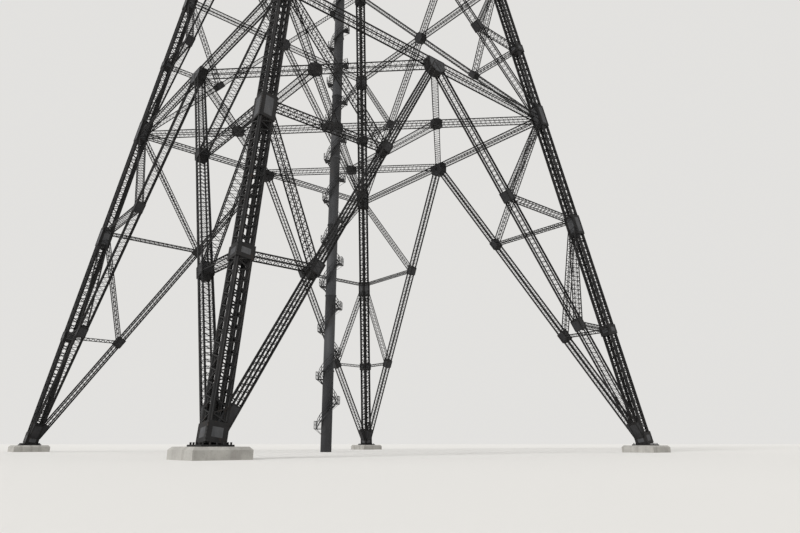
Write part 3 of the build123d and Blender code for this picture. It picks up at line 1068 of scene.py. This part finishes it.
# How far the sleeves reach below and above the breaks. The lowest one starts on the splice.
sleeve_half = sleeve_length / 2
sleeve_spans = (
    (-splice_over_waist, sleeve_half + splice_over_waist),
    (sleeve_half, sleeve_half),
    (sleeve_half, sleeve_half),
    (sleeve_half, head_cap),
)
for level, width, (below, above) in zip(breaks, upper_widths[:1] + upper_widths, sleeve_spans):
    wide = width + sleeve_extra
    middle = upper_left(level)
    sleeves.append((middle - upward * below, middle + upward * above, wide, wide, Vector((0, -1, 0))))
upper_leg_meshes += plated(sleeves)
for quarter, corner in enumerate(corners):
    stand_for(built(f"upper_leg_box_{corner}", upper_leg_meshes, quarter), f"upper_leg_{corner}")

# Upper body: on each face crosses of laced angle steel with a laced beam over each, in
# panels that shorten with the width of the tower, up to the head.
upper_brace_widths = (0.070, 0.055, 0.040)
upper_brace_plate_share = 0.07
upper_brace_pitch_share = 1.3
panel_counts = (3, 5, 5)


def panel_levels(low, high, count):
    """Levels that divide a length into panels that shorten with its width."""
    widths = [half_above(low) + (half_above(high) - half_above(low)) * i / count for i in range(count)]
    return [low + (high - low) * sum(widths[:i]) / sum(widths) for i in range(count + 1)]


def face_panels(low, high, count):
    """The members of the crosses and beams of the front face between two levels."""
    levels = panel_levels(low, high, count)
    out = Vector((0, low - high, half_above(low) - half_above(high))).normalized()
    members = []
    for bottom, top in zip(levels, levels[1:]):
        for way in (-1, 1):
            start = upper_point(way * half_above(bottom), bottom)
            members.append((start, upper_point(-way * half_above(top), top), out))
        members.append((upper_left(top), upper_point(half_above(top), top), out))
    return members


def upper_lattice(members, width):
    """Laced boxes of the upper body."""
    return laced(
        members, width, width, width * upper_chord_share, width * upper_brace_plate_share,
        width * upper_brace_pitch_share, width * upper_lace_share,
    )


body_meshes = [
    upper_lattice(face_panels(low, high, count), width)
    for low, high, count, width in zip(breaks[:2], breaks[1:3], panel_counts, upper_brace_widths)
]
body_meshes.append(cross_members([(left_leg(waist_level), right_leg(waist_level))]))
head_members = face_panels(neck_level, head_level, panel_counts[2])
head_meshes = [upper_lattice(head_members, upper_brace_widths[2])]
for quarter, (side, _, _) in enumerate(sides):
    stand_for(built(f"body_lattice_{side}", body_meshes, quarter), f"upper_lattice_{side}")
    stand_for(built(f"head_bracing_{side}", head_meshes, quarter), f"head_lattice_{side}")

# Flat frames of the upper body: at each beam level, four light beams of laced angle steel
# from the legs to the shaft, which they steady.
frame_levels = panel_levels(breaks[0], breaks[1], panel_counts[0])
frame_levels += panel_levels(breaks[1], breaks[2], panel_counts[1])[1:]
spokes = []
for level in frame_levels:
    reach = half_above(level)
    for quarter in range(4):
        turn = quarter_turn(quarter, 3)
        hub = turn @ around(shaft_radius, hub_turn, level)
        spokes.append((hub, turn @ Vector((-reach, -reach, level)), upward))
stand_for(built("upper_flat_frames", [upper_lattice(spokes, upper_brace_widths[1])]), "upper_frames")

# Crossarms: four rolled steel angles that draw in to a boxed tip, braced by lighter angles
# on all four sides. A plate lug with a cross hole is welded under each tip.
arm_reaches = (2.200, 2.600, 2.000)
arm_chord = 0.045
arm_web = 0.022
arm_plate_share = 0.16
arm_bays = 8
arm_tip = 0.090
lug_length = 0.090
lug_thick = 0.020
lug_hole = 0.015
lug_hole_sides = 16


def rolled_angle_tree():
    """A rolled angle along each edge."""
    tree, given = new_tree("rolled angle", "Width", "Plate")
    bar = swept(tree, run_of(tree, given), angle_profile(tree, given["Width"], given["Plate"], 1.0))
    return close_tree(tree, bar, given["Steel"])


rolled_angle = rolled_angle_tree()


def angles(lines, width):
    """Rolled angles between pairs of points."""
    points, outs = [], []
    for start, end in lines:
        run = (end - start).normalized()
        main = min((Vector((1, 0, 0)), Vector((0, 1, 0)), upward), key=lambda v: abs(v.dot(run)))
        out = (main - run * main.dot(run)).normalized()
        points += [start, end]
        outs += [out, out]
    edges = [(2 * i, 2 * i + 1) for i in range(len(lines))]
    return grown(rolled_angle, points, edges, outs, Width=width, Plate=width * arm_plate_share)


def lug(middle):
    """An upright plate with a cross hole."""
    shell = bmesh.new()
    turns = [2 * pi * (i + 0.5) / lug_hole_sides for i in range(lug_hole_sides)]
    rims = []
    for x in (-lug_thick / 2, lug_thick / 2):
        inner, outer = [], []
        for t in turns:
            reach = lug_length / 2 / max(abs(cos(t)), abs(sin(t)))
            inner.append(shell.verts.new(middle + Vector((x, lug_hole * cos(t), lug_hole * sin(t)))))
            outer.append(shell.verts.new(middle + Vector((x, reach * cos(t), reach * sin(t)))))
        rims.append((inner, outer))
        band(shell, inner, outer)
    for near, far in zip(*rims):
        band(shell, near, far)
    bmesh.ops.recalc_face_normals(shell, faces=shell.faces)
    return from_shell(shell, "lug", lattice_steel)


def arm(roots, tip, tip_middle, chord, bays):
    """An arm on the front, from two roots to a tip on its left side."""
    lines = [(root, tip) for root in roots]
    lines += [(mirrored(a), mirrored(b)) for a, b in reversed(lines)]
    stations = [[a.lerp(b, i / bays) for a, b in lines] for i in range(bays)]
    webs = []
    for i in range(1, bays):
        for j in range(4):
            k = (j + 1) % 4
            near, far = (j, k) if (i + j) % 2 else (k, j)
            webs.append((stations[i - 1][near], stations[i][far]))
            webs.append((stations[i][j], stations[i][k]))
    tip_side = arm_tip - 2 * bolt_height
    block = Vector((tip_side, 0, 0))
    tip_box = (tip_middle - block, tip_middle + block, tip_side, tip_side, upward)
    hanger = tip_middle - upward * ((arm_tip + lug_length) / 2)
    return [angles(lines, chord), angles(webs, arm_web), lug(hanger)] + plated([tip_box])


head_levels = panel_levels(neck_level, head_level, panel_counts[2])
for i, (name, reach) in enumerate(zip(("low", "middle", "high"), arm_reaches)):
    low, high = head_levels[2 * i], head_levels[2 * i + 1]
    tip, tip_middle = Vector((-arm_tip / 2, -reach, low)), Vector((0, -reach, low))
    arm_meshes = arm((upper_left(low), upper_left(high)), tip, tip_middle, arm_chord, arm_bays)
    for quarter, side in ((0, "front"), (2, "back")):
        stand_for(built(f"{name}_arm_{side}", arm_meshes, quarter), f"crossarm_{name}_{side}")

# Peaks: two light arms of rolled steel angles that rise from the head and hold the wires
# against lightning, made and fixed as the crossarms are.
peak_level = 34.650
peak_reach = 1.200
peak_chord = 0.035
peak_setback = 0.070
peak_bays = 5
peak_tip = Vector((0, -peak_reach, peak_level - arm_tip / 2))
peak_root = upper_left(head_level)
peak_back = Vector((peak_root.x, -peak_setback, head_level))
peak_side = peak_tip - Vector((arm_tip / 2, 0, 0))
peak_meshes = arm((peak_root, peak_back), peak_side, peak_tip, peak_chord, peak_bays)
for quarter, side in ((0, "front"), (2, "back")):
    stand_for(built(f"peak_{side}", peak_meshes, quarter), f"earth_wire_peak_{side}")

# Floor, light and camera: a plain pale floor that keeps the tower's shadow, an even pale
# sky and one soft sun. The camera looks from beyond one corner, as the photograph does.
floor_reach = 400
floor_tone, floor_paint = new_finish("floor_tone")
floor_paint.inputs["Base Color"].default_value = (0.75, 0.74, 0.72, 1)
floor_paint.inputs["Roughness"].default_value = 0.9
floor_corners = [(x * floor_reach, y * floor_reach, 0) for x, y in plan_corners]
floor_mesh = bpy.data.meshes.new("floor")
floor_mesh.from_pydata(floor_corners, [], [(0, 1, 2, 3)])
floor_mesh.materials.append(floor_tone)
floor = placed("floor", floor_mesh)

world = bpy.data.worlds.new("pale_sky")
bpy.context.scene.world = world
world.use_nodes = True
sky = world.node_tree.nodes["Background"]
sky.inputs["Color"].default_value = (0.90, 0.89, 0.87, 1)
sky.inputs["Strength"].default_value = 0.85

sun = bpy.data.lights.new("soft_sun", "SUN")
sun.energy = 1.9
sun.angle = radians(20)
placed("soft_sun", sun).rotation_euler = (radians(58), 0, radians(-84))

camera_place = Vector((-5.600, -8.300, 0.1206))
camera_yaw = 0.7079
camera_pitch = 0.2793
photo_width_px = 800
focal_px = 618.75
camera = bpy.data.cameras.new("photo_view")
camera.sensor_width = 36
camera.lens = focal_px / photo_width_px * camera.sensor_width
camera.clip_end = 2000
level_share = cos(camera_pitch)
ahead = Vector((sin(camera_yaw) * level_share, cos(camera_yaw) * level_share, sin(camera_pitch)))
camera_holder = placed("photo_view", camera)
camera_holder.location = camera_place
camera_holder.rotation_euler = ahead.to_track_quat("-Z", "Y").to_euler()
bpy.context.scene.camera = camera_holder
bpy.context.scene.view_settings.view_transform = "Standard"
